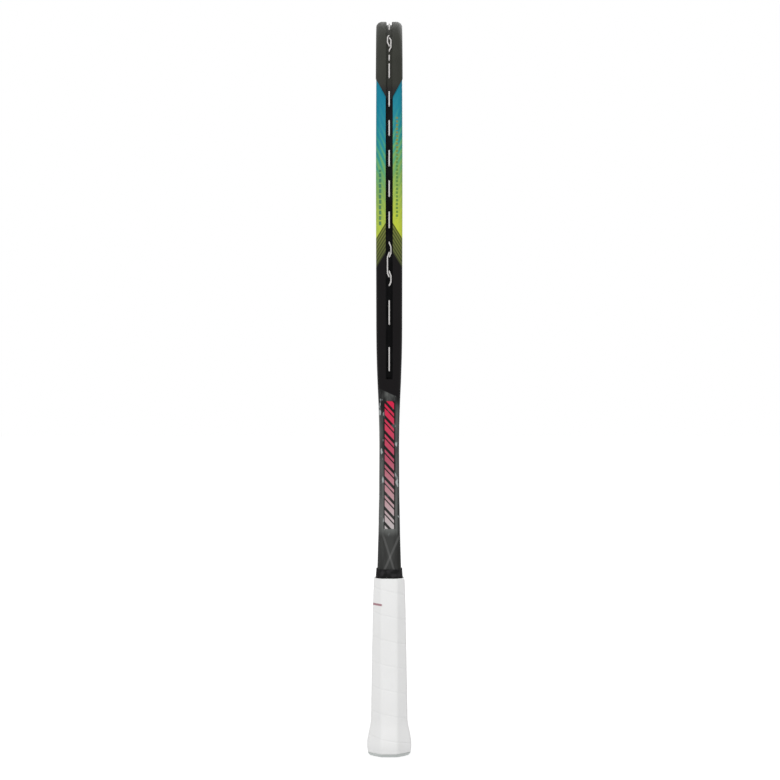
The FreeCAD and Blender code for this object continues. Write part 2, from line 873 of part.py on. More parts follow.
def octagon(body, name, height, deep, inset="0 mm"):
    """An octagon with sides square to X and Y; inset moves every side inwards alike."""
    sketch = new_sketch(body, name, height)
    half = 15.0
    flat = 8.0
    corners = [(half, -flat), (half, flat), (flat, half), (-flat, half)]
    corners += [(-half, flat), (-half, -flat), (-flat, -half), (flat, -half)]
    count = len(corners)
    for n in range(count):
        first = V(*corners[n], 0)
        second = V(*corners[(n + 1) % count], 0)
        sketch.addGeometry(Part.LineSegment(first, second), False)
    for n in range(count):
        joint = Sketcher.Constraint("Coincident", n, 2, (n + 1) % count, 1)
        sketch.addConstraint(joint)
    for line, axis in ((0, -1), (4, -1), (2, -2), (6, -2)):
        sketch.addConstraint(Sketcher.Constraint("Symmetric", line, 1, line, 2, axis))
    sketch.addConstraint(Sketcher.Constraint("Equal", 0, 4))
    sketch.addConstraint(Sketcher.Constraint("Equal", 2, 6))
    shrink = f"2 * ({inset}) * tan(22.5 deg)"
    wide = f"({deep} - {SHAFT_DEEP} + {SHAFT_WIDE} + {at('grip_extra_wide')}) / 2 - ({inset})"
    half_deep = f"({deep}) / 2 - ({inset})"
    side_flat = f"{SHAFT_DEEP} - {at('side_flat_under')} - {shrink}"
    face_flat = f"{SHAFT_WIDE} - {at('face_flat_under')} - {shrink}"
    bind(sketch, "Distance", 0, name="side_flat", value=side_flat, drawn=2 * flat)
    bind(sketch, "Distance", 2, name="face_flat", value=face_flat, drawn=2 * flat)
    bind(sketch, "DistanceX", -1, 1, 0, 1, name="right", value=wide, drawn=half)
    bind(sketch, "DistanceX", 4, 1, -1, 1, name="left", value=wide, drawn=half)
    bind(sketch, "DistanceY", -1, 1, 2, 1, name="front", value=half_deep, drawn=half)
    bind(sketch, "DistanceY", 6, 1, -1, 1, name="back", value=half_deep, drawn=half)
    return sketch


def rounded_rectangle(body, name, height, wide, deep, radius):
    """A rectangle with round corners, centred on the racket's axis."""
    sketch = new_sketch(body, name, height)
    x, y, r = 10.0, 11.0, 3.0
    turn = math.pi / 2
    for n, (cx, cy) in enumerate([(x - r, y - r), (r - x, y - r), (r - x, r - y), (x - r, r - y)]):
        circle = Part.Circle(V(cx, cy, 0), V(0, 0, 1), r)
        sketch.addGeometry(Part.ArcOfCircle(circle, n * turn, (n + 1) * turn), False)
    runs = [((x - r, y), (r - x, y)), ((-x, y - r), (-x, r - y))]
    runs += [((r - x, -y), (x - r, -y)), ((x, r - y), (x, y - r))]
    for first, second in runs:
        sketch.addGeometry(Part.LineSegment(V(*first, 0), V(*second, 0)), False)
    for n in range(4):
        line = 4 + n
        sketch.addConstraint(Sketcher.Constraint("Tangent", n, 2, line, 1))
        sketch.addConstraint(Sketcher.Constraint("Tangent", line, 2, (n + 1) % 4, 1))
    for line, kind in ((4, "Horizontal"), (5, "Vertical"), (6, "Horizontal"), (7, "Vertical")):
        sketch.addConstraint(Sketcher.Constraint(kind, line))
    for n in range(3):
        sketch.addConstraint(Sketcher.Constraint("Equal", n, n + 1))
    sketch.addConstraint(Sketcher.Constraint("Symmetric", 0, 3, 2, 3, -1, 1))
    bind(sketch, "Radius", 0, name="corner", value=radius, drawn=r)
    bind(sketch, "DistanceX", 5, 1, 7, 1, name="wide", value=wide, drawn=2 * x)
    bind(sketch, "DistanceY", 6, 1, 4, 1, name="deep", value=deep, drawn=2 * y)
    return sketch


def loft(body, kind, name, sections):
    """An additive or subtractive ruled loft through sketches from the top to the bottom."""
    feature = body.newObject(f"PartDesign::{kind}Loft", name)
    feature.Profile = sections[0]
    feature.Sections = sections[1:]
    feature.Ruled = True
    for section in sections:
        section.Visibility = False
    doc.recompute()
    return feature


def pad(body, sketch, name, length):
    """A pad upwards by an expression."""
    feature = body.newObject("PartDesign::Pad", name)
    feature.Profile = sketch
    feature.setExpression("Length", length)
    doc.recompute()
    return feature


def pocket_up(body, sketch, name, length):
    """A pocket that cuts upwards from its sketch; it has to take something away."""
    before = body.Shape.Volume
    feature = body.newObject("PartDesign::Pocket", name)
    feature.Profile = sketch
    feature.Reversed = True
    feature.setExpression("Length", length)
    doc.recompute()
    if not body.Shape.Volume < before - 1e-6:
        raise ValueError(f"{name} cuts nothing")
    return feature


def at(name):
    """A size of the sheet as a length in an expression."""
    return f"Sizes.{name} * 1 mm"


def grip_deep(name):
    """Depth of the grip's octagon at a station, over the shaft's own depth."""
    return f"({SHAFT_DEEP} + {at(name + '_over')})"


def grip_stations(names, inset):
    """Heights, sizes and insets of the grip's octagons, from the top down."""
    return [(at(f"{name}_height"), grip_deep(name), inset) for name in names]


def octagon_loft(body, kind, name, stations):
    """A ruled loft through octagons at the given stations."""
    sections = [
        octagon(body, f"{name}_{n}", *station) for n, station in enumerate(stations, start=1)
    ]
    return loft(body, kind, name, sections)


UNDER_GRIP = "(Sizes.grip_wall + Sizes.grip_gap) * 1 mm"
UNDER_CAP = "(Sizes.grip_wall + Sizes.grip_gap + Sizes.cap_wall) * 1 mm"
IN_CAP = "(Sizes.grip_wall + Sizes.grip_gap + Sizes.cap_wall + Sizes.pallet_gap) * 1 mm"
SHAFT_WIDE = "Sizes.tube_width * 2 mm"
SHAFT_DEEP = "Sizes.foot_depth * 1 mm"
GRIP_OUTLINE = ["grip_top", "neck", "heel", "flare", "rim", "foot_edge"]


def build_grip():
    """Cushioned sleeve: the finished octagonal outline, hollow to the wall's thickness."""
    body = new_body("cushion_grip")
    octagon_loft(body, "Additive", "grip_outside", grip_stations(GRIP_OUTLINE, "0 mm"))
    inside = grip_stations(GRIP_OUTLINE, at("grip_wall"))
    octagon_loft(body, "Subtractive", "grip_inside", inside)


def build_cap():
    """Flared cap: a skirt under the grip, a flange below it, room for pallets and badge."""
    body = new_body("butt_cap")
    skirt = grip_stations(GRIP_OUTLINE[2:], UNDER_GRIP)
    octagon_loft(body, "Additive", "cap_skirt", skirt)
    flange = grip_stations(["foot_edge", "sole_edge"], "0 mm")
    flange += [("0 mm", grip_deep("butt_face"), "0 mm")]
    octagon_loft(body, "Additive", "cap_flange", flange)
    room = octagon(body, "pallet_room_outline", at("cap_floor"), grip_deep("heel"), UNDER_CAP)
    pocket_up(body, room, "pallet_room", at("heel_height"))
    recess = disc(body, "badge_room_outline", "0 mm", "Sizes.badge_size / 2 + Sizes.badge_gap")
    depth = "(Sizes.badge_sink + Sizes.badge_thick + Sizes.badge_gap) * 1 mm"
    pocket_up(body, recess, "badge_room", depth)
    cut_for_tacks(body)


def disc(body, name, height, radius):
    """A circle on the racket's axis."""
    sketch = new_sketch(body, name, height)
    drawn = 5.0
    sketch.addGeometry(Part.Circle(V(0, 0, 0), V(0, 0, 1), drawn), False)
    sketch.addConstraint(Sketcher.Constraint("Coincident", 0, 3, -1, 1))
    bind(sketch, "Radius", 0, name="radius", value=f"({radius}) * 1 mm", drawn=drawn)
    return sketch


def tack_circle(body, role, name, start, radius):
    """A circle at the tacks' height, on a plane that looks along X or Y, at a distance."""
    sketch = body.newObject("Sketcher::SketchObject", name)
    sketch.AttachmentSupport = [(plane_of(body, role), "")]
    sketch.MapMode = "FlatFace"
    sketch.setExpression("AttachmentOffset.Base.z", start)
    up = 10.0
    drawn = 1.0
    sketch.addGeometry(Part.Circle(V(0, up, 0), V(0, 0, 1), drawn), False)
    sketch.addConstraint(Sketcher.Constraint("PointOnObject", 0, 3, -2))
    bind(sketch, "Radius", 0, name="radius", value=f"({radius}) * 1 mm", drawn=drawn)
    bind(sketch, "DistanceY", -1, 1, 0, 3, name="up", value=at("tack_height"), drawn=up)
    return sketch


def cut_for_tacks(body):
    """Shank holes right through, and a wider recess from each head's seat outwards."""
    for role, shaft in (("YZ_Plane", SIDE_HALF), ("XZ_Plane", FACE_HALF)):
        seat = f"{shaft} + {TACK_SEAT}"
        shank = tack_circle(body, role, f"shank_{role}", "0 mm", "Sizes.tack_shank / 2")
        through(body, shank, f"shanks_{role}")
        for side in (1, -1):
            word = "near" if side > 0 else "far"
            name = f"head_{role}_{word}"
            head = tack_circle(
                body, role, name, f"{side} * ({seat}) * 1 mm", "Sizes.tack_head / 2 + Sizes.tack_gap"
            )
            outwards(body, head, f"recess_{role}_{word}", side)


SIDE_HALF = "Sizes.tube_width + Sizes.grip_extra_wide / 2"
FACE_HALF = "Sizes.foot_depth / 2"
TACK_SEAT = (
    "Sizes.heel_over / 2 - Sizes.grip_wall - Sizes.grip_gap - Sizes.cap_wall + Sizes.tack_seat"
)


def through(body, sketch, name):
    """A pocket both ways through everything."""
    before = body.Shape.Volume
    feature = body.newObject("PartDesign::Pocket", name)
    feature.Profile = sketch
    feature.Midplane = True
    feature.Length = THROUGH_EVERYTHING
    doc.recompute()
    if not body.Shape.Volume < before - 1e-6:
        raise ValueError(f"{name} cuts nothing")


def outwards(body, sketch, name, side):
    """A pocket from its sketch away from the axis."""
    before = body.Shape.Volume
    feature = body.newObject("PartDesign::Pocket", name)
    feature.Profile = sketch
    feature.Reversed = side > 0
    feature.Length = THROUGH_EVERYTHING
    doc.recompute()
    if not body.Shape.Volume < before - 1e-6:
        raise ValueError(f"{name} cuts nothing")


THROUGH_EVERYTHING = 200


def build_pallets():
    """Two shells of the handle, split on the plane of the strings, moulded to the shaft."""
    block = doc.addObject("PartDesign::Body", "pallet_block")
    pallet_foot = "(Sizes.cap_floor + Sizes.pallet_gap) * 1 mm"
    foot = octagon(
        block, "pallet_foot_outline", pallet_foot, grip_deep("heel"), IN_CAP
    )
    in_cap = "(Sizes.heel_height - Sizes.cap_floor - Sizes.pallet_gap) * 1 mm"
    pad(block, foot, "pallet_foot", in_cap)
    stations = [(at("pallet_top"), grip_deep("grip_top"), UNDER_GRIP)]
    stations += grip_stations(["neck", "heel"], UNDER_GRIP)
    octagon_loft(block, "Additive", "pallet_length", stations)
    gap = at("pallet_gap")
    shaft = rounded_rectangle(
        block,
        "shaft_room_outline",
        "0 mm",
        f"{SHAFT_WIDE} + 2 * {gap}",
        f"{SHAFT_DEEP} + 2 * {gap}",
        f"{at('edge_radius')} + {gap}",
    )
    pocket_up(block, shaft, "shaft_room", at("pallet_top"))
    for role in ("YZ_Plane", "XZ_Plane"):
        shank = tack_circle(block, role, f"pallet_{role}", "0 mm", "Sizes.tack_shank / 2")
        through(block, shank, f"pallet_shanks_{role}")
    half = doc.addObject("Part::Box", "front_half")
    half.setExpression("Length", f"2 * {grip_deep('rim')}")
    half.setExpression("Width", grip_deep("rim"))
    half.setExpression("Height", at("overall_length"))
    half.setExpression("Placement.Base.x", f"-1 * {grip_deep('rim')}")
    front = doc.addObject("Part::Common", "handle_pallet_front")
    front.Base = block
    front.Tool = half
    back = doc.addObject("Part::Cut", "handle_pallet_back")
    back.Base = block
    back.Tool = half
    for part in (front, back):
        part.Label = part.Name
        nodes.append(part)


def build_plugs():
    """A foam plug in the open end of each leg of the tube."""
    plug = doc.addObject("PartDesign::Body", "end_plug")
    less = "2 * (Sizes.tube_wall + Sizes.plug_gap) * 1 mm"
    outline = rounded_rectangle(
        plug,
        "plug_outline",
        at("shaft_end"),
        f"{at('tube_width')} - {less}",
        f"{SHAFT_DEEP} - {less}",
        "(Sizes.edge_radius - Sizes.tube_wall - Sizes.plug_gap) * 1 mm",
    )
    pad(plug, outline, "plug", at("plug_length"))
    plug.setExpression("Placement.Base.x", "Sizes.tube_width / 2 * 1 mm")
    twin = doc.addObject("Part::Mirroring", "end_plug_twin")
    twin.Source = plug
    twin.Normal = V(1, 0, 0)
    both = doc.addObject("Part::Compound", "tube_end_plugs")
    both.Links = [plug, twin]
    both.Label = both.Name
    nodes.append(both)


def build_tacks():
    """Four tacks that hold the cap on the pallets, each a shank under a flat head."""
    seat = size("heel_over") / 2 - size("grip_wall") - size("grip_gap") - size("cap_wall")
    seat += size("tack_seat")
    side = size("tube_width") + size("grip_extra_wide") / 2
    face = size("foot_depth") / 2
    tacks = []
    for direction, shaft in ((V(1, 0, 0), side), (V(0, 1, 0), face)):
        for way in (direction, -direction):
            base = V(0, 0, size("tack_height")) + way * (shaft + seat)
            length = size("tack_length")
            shank = Part.makeCylinder(size("tack_shank") / 2, length, base - way * length, way)
            head = Part.makeCylinder(size("tack_head") / 2, size("tack_head_thick"), base, way)
            tacks.append(shank.fuse(head))
    add_shape("butt_cap_tacks", Part.makeCompound(tacks))


def build_badge():
    """Plain round badge set into the butt's end."""
    body = new_body("butt_badge")
    outline = disc(body, "badge_outline", at("badge_sink"), "Sizes.badge_size / 2")
    pad(body, outline, "badge", at("badge_thick"))


def shaft_ring(body, name, height, length, gap, foot_deep, top_deep):
    """A sleeve on the shaft: a loft between two round-cornered outlines, bored to a gap."""
    shaft_deep = SHAFT_DEEP
    outlines = []
    for end, lift, deep in (("top", f"{height} + {length}", top_deep), ("foot", height, foot_deep)):
        outlines.append(
            rounded_rectangle(
                body,
                f"{name}_{end}",
                lift,
                f"{deep} - {shaft_deep} + {SHAFT_WIDE}",
                deep,
                f"{at('edge_radius')} + ({deep} - {shaft_deep}) / 2",
            )
        )
    loft(body, "Additive", f"{name}_sleeve", outlines)
    room = rounded_rectangle(
        body,
        f"{name}_bore_outline",
        height,
        f"{SHAFT_WIDE} + 2 * {gap}",
        f"{shaft_deep} + 2 * {gap}",
        f"{at('edge_radius')} + {gap}",
    )
    pocket_up(body, room, f"{name}_bore", length)


def build_tape_and_collar():
    """Tape that seals the grip's top to the shaft, and the rubber collar that covers it."""
    tape = new_body("finishing_tape")
    taped = f"{SHAFT_DEEP} + 2 * (Sizes.tape_gap + Sizes.tape_thick) * 1 mm"
    foot = at("grip_top_height")
    shaft_ring(tape, "tape", foot, at("tape_length"), at("tape_gap"), taped, taped)
    collar = new_body("grip_collar")
    foot = "(Sizes.grip_top_height + Sizes.collar_gap) * 1 mm"
    gap = "(Sizes.tape_gap + Sizes.tape_thick + Sizes.collar_gap) * 1 mm"
    foot_deep = f"{SHAFT_DEEP} + 2 * ({gap} + {at('collar_foot_wall')})"
    top_deep = f"{SHAFT_DEEP} + 2 * ({gap} + {at('collar_top_wall')})"
    shaft_ring(collar, "collar", foot, at("collar_length"), gap, foot_deep, top_deep)


# ---------------------------------------------------------------- the whole racket

add_shape("frame_shell", build_frame())
add_shape("throat_wedge", build_wedge())
add_shape("throat_liner", build_liner())
add_shape("bumper_guard", build_bumper())
for word, side in (("right", 1), ("left", -1)):
    add_shape(f"side_strip_{word}", strip(side, BUMPER_RUN, SIDE_END))
    add_shape(f"throat_strip_{word}", strip(side, SIDE_END, GROOVE_END))
add_shape("main_string", sweep(main_route().wire()))
add_shape("cross_string", sweep(cross_route().wire()))
add_shape("string_knots", build_knots())
build_plugs()
build_pallets()
build_cap()
build_tacks()
build_badge()
build_grip()
build_tape_and_collar()

doc.recompute()
for item in doc.Objects:
    if any(word in item.State for word in ("Invalid", "Error")):
        raise RuntimeError(f"{item.Label} did not build: {item.State}")
for part in nodes:
    if part.Shape.isNull() or not part.Shape.isValid():
        raise RuntimeError(f"{part.Label} has no sound shape")

os.makedirs("parts", exist_ok=True)
for part in nodes:
    part.Shape.exportStep(f"parts/{part.Label}.step")
    print(f"{part.Label}: {len(part.Shape.Solids)} solids, {part.Shape.Volume:.1f} mm3")
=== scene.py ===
import math

import bpy
import numpy as np
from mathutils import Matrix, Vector


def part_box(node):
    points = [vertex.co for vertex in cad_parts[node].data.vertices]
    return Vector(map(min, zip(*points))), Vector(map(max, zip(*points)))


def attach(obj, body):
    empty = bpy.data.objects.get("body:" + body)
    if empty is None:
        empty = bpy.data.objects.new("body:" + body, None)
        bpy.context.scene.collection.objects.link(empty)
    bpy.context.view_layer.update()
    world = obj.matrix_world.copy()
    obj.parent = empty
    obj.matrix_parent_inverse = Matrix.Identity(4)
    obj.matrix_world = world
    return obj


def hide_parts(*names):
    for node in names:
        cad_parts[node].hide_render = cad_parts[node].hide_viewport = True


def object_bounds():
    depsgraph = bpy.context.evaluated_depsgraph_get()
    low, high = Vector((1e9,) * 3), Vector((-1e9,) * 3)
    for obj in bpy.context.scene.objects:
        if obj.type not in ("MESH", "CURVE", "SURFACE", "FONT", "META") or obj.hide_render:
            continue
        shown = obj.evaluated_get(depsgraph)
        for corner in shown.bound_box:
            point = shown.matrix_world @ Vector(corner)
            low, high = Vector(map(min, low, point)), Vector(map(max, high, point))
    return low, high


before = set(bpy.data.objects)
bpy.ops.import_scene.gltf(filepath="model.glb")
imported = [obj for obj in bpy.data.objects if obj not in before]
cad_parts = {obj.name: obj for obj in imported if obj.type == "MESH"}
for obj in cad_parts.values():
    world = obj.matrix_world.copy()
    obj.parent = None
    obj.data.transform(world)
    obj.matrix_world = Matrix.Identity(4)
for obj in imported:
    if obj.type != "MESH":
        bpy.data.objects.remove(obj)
cad_low, cad_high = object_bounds()

PER_METRE = 1000.0


def shade(red, green, blue):
    """A colour given as it shows on a screen, 0 to 255, as the linear colour that shaders take."""
    linear = []
    for part in (red / 255, green / 255, blue / 255):
        linear.append(part / 12.92 if part <= 0.04045 else ((part + 0.055) / 1.055) ** 2.4)
    return (*linear, 1.0)


# ---------------------------------------------------------------- shader maths


class Wire:
    """A socket in a tree of nodes. Arithmetic on it adds Math nodes to the same tree."""

    def __init__(self, shading, socket):
        self.shading = shading
        self.socket = socket

    def maths(self, operation, *others):
        """A Math node's result for this socket and the others that the operation takes."""
        values = dict(enumerate((self, *others)))
        return self.shading.node("Math", {"operation": operation}, values)

    def __add__(self, other):
        return self.maths("ADD", other)

    __radd__ = __add__

    def __sub__(self, other):
        return self.maths("SUBTRACT", other)

    def __rsub__(self, other):
        return self * -1.0 + other

    def __mul__(self, other):
        return self.maths("MULTIPLY", other)

    __rmul__ = __mul__

    def __truediv__(self, other):
        return self.maths("DIVIDE", other)

    def __mod__(self, other):
        return self.maths("FLOORED_MODULO", other)

    def __abs__(self):
        return self.maths("ABSOLUTE")


class Shading:
    """The tree of nodes of a material or of the world."""

    def __init__(self, owner):
        owner.use_nodes = True
        self.tree = owner.node_tree
        self.tree.nodes.clear()

    def node(self, kind, settings=None, values=None, output=0):
        """Adds a node: its settings first, then the values or links of its sockets.

        The setting called stops is a ramp's list of places, 0 to 1, each with its colour.
        """
        made = self.tree.nodes.new("ShaderNode" + kind)
        for name, value in (settings or {}).items():
            if name == "stops":
                ends = made.color_ramp.elements
                first, *inner, last = value
                ends[0].position, ends[0].color = first
                ends[1].position, ends[1].color = last
                for position, colour in inner:
                    ends.new(position).color = colour
            else:
                setattr(made, name, value)
        for key, value in (values or {}).items():
            if isinstance(value, Wire):
                self.tree.links.new(value.socket, made.inputs[key])
            else:
                made.inputs[key].default_value = value
        return Wire(self, made.outputs[output]) if made.outputs else None

    def looked_at(self):
        """1 on rays that come from the camera, a reflection or glass."""
        outputs = self.node("LightPath").socket.node.outputs
        seen = Wire(self, outputs["Is Camera Ray"]) + Wire(self, outputs["Is Glossy Ray"])
        return seen + Wire(self, outputs["Is Transmission Ray"])


class Finish(Shading):
    """A material for one of the racket's substances, its pattern laid on the racket's own axes."""

    def __init__(self, name):
        self.material = bpy.data.materials.new(name)
        super().__init__(self.material)
        self.place = self.node("TexCoord", output="Object")
        across, depth, height = self.split(self.place)
        self.across = across * PER_METRE
        self.depth = depth * PER_METRE
        self.height = height * PER_METRE

    def split(self, vector):
        """The three parts of a vector."""
        made = self.node("SeparateXYZ", values={0: vector})
        return [Wire(self, socket) for socket in made.socket.node.outputs]

    def above(self, value, edge, soft):
        """1 where a value is above an edge and 0 below it, over a soft width."""
        return self.node(
            "MapRange",
            {"interpolation_type": "SMOOTHSTEP"},
            {"Value": value, "From Min": edge - soft / 2, "From Max": edge + soft / 2},
        )

    def between(self, value, low, high, soft):
        """1 where a value lies between two edges."""
        return self.above(value, low, soft) * (1 - self.above(value, high, soft))

    def mix(self, share, below, over):
        """A colour that goes from one to another with a share."""
        return self.node("Mix", {"data_type": "RGBA"}, {0: share, 6: below, 7: over}, output=2)

    def ramp(self, value, *stops):
        """A colour that runs through stops, each a place from 0 to 1 and its colour."""
        return self.node("ValToRGB", {"stops": stops}, {0: value})

    def noise(self, scale, detail=2.0, stretch=(1, 1, 1), shift=(0, 0, 0)):
        """Soft noise with a number of features per metre, stretched along the axes."""
        place = self.node(
            "Mapping", values={"Vector": self.place, "Location": shift, "Scale": stretch}
        )
        return self.node("TexNoise", values={"Vector": place, "Scale": scale, "Detail": detail})

    def bump(self, height, distance):
        """A surface normal tilted by a height, whose full rise is a distance in metres."""
        return self.node("Bump", values={"Distance": distance, "Height": height})

    def finished(self, **values):
        """Ends the finish in one Principled shader with these sockets, and gives the material."""
        named = {name.replace("_", " "): value for name, value in values.items()}
        shader = self.node("BsdfPrincipled", values=named)
        self.node("OutputMaterial", values={"Surface": shader})
        return self.material


# ---------------------------------------------------------------- finishes

# the frame's paint, in millimetres: heights are above the butt, depths are from the middle plane
LIME_END = 495.0
OLIVE_END = 470.0
CHEVRON_LEAN = 1.57
CHEVRON_PITCH = 3.9
GREY_START = 338.5
GREY_LEAN = 0.47

# the fade from lime to teal, which starts lower on the front than on the back, and the slanting
# streaks that break it, louder over one run of heights
FADE_START = 480.0
FADE_RUN = 125.0
FADE_RAISED = 7.0
BACK_LOWERED = 16.0
STREAK_PITCH = 10.5
STREAK_LEAN = 2.4
STREAK_WANDER = 10.0
STREAK_REACH = 5.0
STREAK_LOUDER = 6.0
LOUD_RUN = (535.0, 592.0)

# rows of dashes: the depths of its sides, its run of heights, the pitch, and one dash's two ends
BACK_ROW = ((5.9, 7.9), (494.0, 583.0), 3.3, (0.3, 2.4))
FRONT_ROW = ((-9.2, -7.0), (488.0, 536.0), 4.6, (0.4, 3.8))

# the shaft's slanting bars
BAR_RUN = (212.0, 331.0)
BAR_SIDES = (-4.2, 4.4)
BAR_BACKING = (-5.2, 5.6)
BAR_PITCH = 14.2
BAR_LEAN = 1.1
THICK_BAR = (1.4, 7.4)
THIN_BAR = (9.2, 12.0)

# the bare stretch under the bars, and its two crossing strokes: each one's height at the middle
# plane, its lean and its half width
PLAIN_RUN = (160.0, 208.0)
STROKE_RUN = (171.0, 206.0)
FALLING_STROKE = (188.0, 3.2, 3.0)
RISING_STROKE = (184.0, -2.3, 2.4)


class FramePaint(Finish):
    """The frame's finish, which also knows the distance from the groove and the outer faces."""

    def __init__(self, name):
        super().__init__(name)
        self.aside = abs(self.depth)
        normal = self.node("TexCoord", output="Normal")
        facing = self.node(
            "VectorMath", {"operation": "DOT_PRODUCT"}, {0: normal, 1: (1, 0, 0)}, output=1
        )
        self.outside = self.above(facing * self.across, 0.0, 1.0)


def head_fade(f):
    """Lime at the throat to teal at the tip, with streaks that point down at the groove."""
    wander = f.noise(45.0, 3.0)
    slant = (f.height - STREAK_LEAN * f.aside + wander * STREAK_WANDER) / STREAK_PITCH
    streak = (slant * math.tau).maths("SINE")
    reach = STREAK_REACH + f.between(f.height, *LOUD_RUN, 12.0) * STREAK_LOUDER
    raised = f.height + streak * reach + FADE_RAISED - f.above(f.depth, 0.0, 1.0) * BACK_LOWERED
    return f.ramp(
        (raised - FADE_START) / FADE_RUN,
        (0.0, shade(196, 210, 70)),
        (0.16, shade(172, 196, 84)),
        (0.34, shade(132, 172, 92)),
        (0.5, shade(100, 166, 112)),
        (0.62, shade(58, 148, 132)),
        (0.76, shade(34, 132, 146)),
        (1.0, shade(22, 122, 146)),
    )


def dash_row(f, row):
    """1 on the dashes of a row beside the groove."""
    sides, run, pitch, dash = row
    dashes = f.between(f.height % pitch, *dash, 0.6)
    return f.between(f.depth, *sides, 0.5) * f.between(f.height, *run, 1.0) * dashes * f.outside


def chevrons(f, above, below):
    """Lighter and darker olive stripes that point up at the groove, between two colours."""
    rise = f.height + CHEVRON_LEAN * f.aside
    stripe = f.between(rise % CHEVRON_PITCH, 0.0, 1.9, 0.8)
    depth_in = f.node(
        "MapRange", values={"Value": rise, "From Min": OLIVE_END, "From Max": LIME_END}
    )
    dark = f.mix(depth_in, shade(64, 68, 42), shade(84, 92, 46))
    light = f.mix(depth_in, shade(92, 99, 58), shade(128, 137, 66))
    colour = f.mix(f.above(rise, LIME_END, 0.8), f.mix(stripe, dark, light), above)
    outline = f.between(rise, LIME_END - 1.2, LIME_END + 0.3, 0.6)
    colour = f.mix(outline * 0.5, colour, shade(70, 78, 18))
    return f.mix(f.above(rise, OLIVE_END, 1.4), below, colour)


def bare_graphite(f):
    """The shaft's graphite: grey streaks along it, partly painted highlights, a painted shade down
    its +Y side, pale flecks and, lower down, two strokes.
    """
    # grey streaks stretched along the shaft: the graphite's own mottle, and painted highlights
    # running along it
    grain = f.noise(70.0, 5.0, (1, 1, 0.16))
    colour = f.mix(f.above(grain, 0.52, 0.2), shade(30, 30, 30), shade(104, 106, 104))
    # painted shade: the shaft's +Y side, away from the key lamp, is darkened towards near black
    colour = f.mix(f.above(f.depth, 8.0, 3.0) * 0.7, colour, shade(14, 15, 14))
    fleck = f.above(f.noise(165.0, 2.0, (1, 1, 0.55), (0.9, 0.7, 0.1)), 0.64, 0.06)
    fleck = fleck * f.above(f.height, PLAIN_RUN[1], 12.0)
    colour = f.mix(fleck * 0.9, colour, shade(176, 182, 182))
    colour = f.mix(f.between(f.height, *PLAIN_RUN, 8.0) * 0.75, colour, shade(46, 46, 45))
    strokes = [
        1 - f.above(abs(f.height - middle + f.depth * lean), half, half)
        for middle, lean, half in (FALLING_STROKE, RISING_STROKE)
    ]
    crossing = (strokes[0] + strokes[1]) * f.between(f.height, *STROKE_RUN, 6.0)
    return f.mix(crossing * 0.5, colour, shade(104, 104, 103))


def slanting_bars(f, graphite):
    """Generic thick and thin bars down the shaft's outer faces, from near white to crimson."""
    run = f.between(f.height, *BAR_RUN, 1.0)
    place = (f.height + f.depth * BAR_LEAN) % BAR_PITCH
    thick_and_thin = f.between(place, *THICK_BAR, 0.8) + f.between(place, *THIN_BAR, 0.8)
    bars = run * f.between(f.depth, *BAR_SIDES, 0.5) * thick_and_thin * f.outside
    paint = f.ramp(
        (f.height - BAR_RUN[0]) / (BAR_RUN[1] - BAR_RUN[0]),
        (0.0, shade(196, 190, 190)),
        (0.3, shade(190, 140, 148)),
        (0.55, shade(184, 84, 106)),
        (1.0, shade(222, 40, 78)),
    )
    backing = run * f.between(f.depth, *BAR_BACKING, 0.8) * f.outside
    return f.mix(bars, f.mix(backing * 0.85, graphite, shade(24, 26, 25)), paint)


def frame_finish():
    """Lacquered graphite: a fade from teal to lime, fine chevrons, black, and a mottled shaft with
    painted highlights and a painted shade.
    """
    f = FramePaint("lacquered_graphite")
    ink = f.mix(f.above(f.height, 548.0, 20.0), shade(78, 122, 62), shade(132, 126, 44))
    head = f.mix(dash_row(f, BACK_ROW) * 0.75, head_fade(f), ink)
    head = f.mix(dash_row(f, FRONT_ROW) * 0.75, head, shade(44, 104, 92))
    black = f.mix(f.noise(30.0, 4.0, (1, 1, 0.2)), shade(14, 12, 13), shade(26, 24, 25))
    shaft = slanting_bars(f, bare_graphite(f))
    on_head = f.above(f.height + f.depth * GREY_LEAN, GREY_START, 0.8)

    orange_peel = f.noise(420.0, 2.0)
    return f.finished(
        Base_Color=f.mix(on_head, shaft, chevrons(f, head, black)),
        Roughness=0.34 + f.noise(160.0, 3.0) * 0.12,
        Specular_IOR_Level=0.07,
        Normal=f.bump(orange_peel, 0.00006),
    )


def wedge_finish():
    """Black moulded filler in the throat, satin, with faint flow marks."""
    f = Finish("throat_filler")
    flow = f.noise(90.0, 4.0, (1, 1, 0.3))
    return f.finished(
        Base_Color=f.mix(flow, shade(22, 20, 22), shade(38, 36, 38)),
        Roughness=0.38 + flow * 0.14,
        Specular_IOR_Level=0.12,
        Normal=f.bump(f.noise(900.0, 2.0), 0.00004),
    )


def strip_finish():
    """Black nylon strip, slightly shiny, rubbed paler in places."""
    f = Finish("black_nylon")
    rub = f.noise(130.0, 4.0, (1, 1, 0.4))
    return f.finished(
        Base_Color=f.mix(f.above(rub, 0.6, 0.3), shade(5, 5, 6), shade(22, 22, 24)),
        Roughness=0.34 + rub * 0.16,
        Specular_IOR_Level=0.05,
        Normal=f.bump(f.noise(1100.0, 2.0), 0.00003),
    )


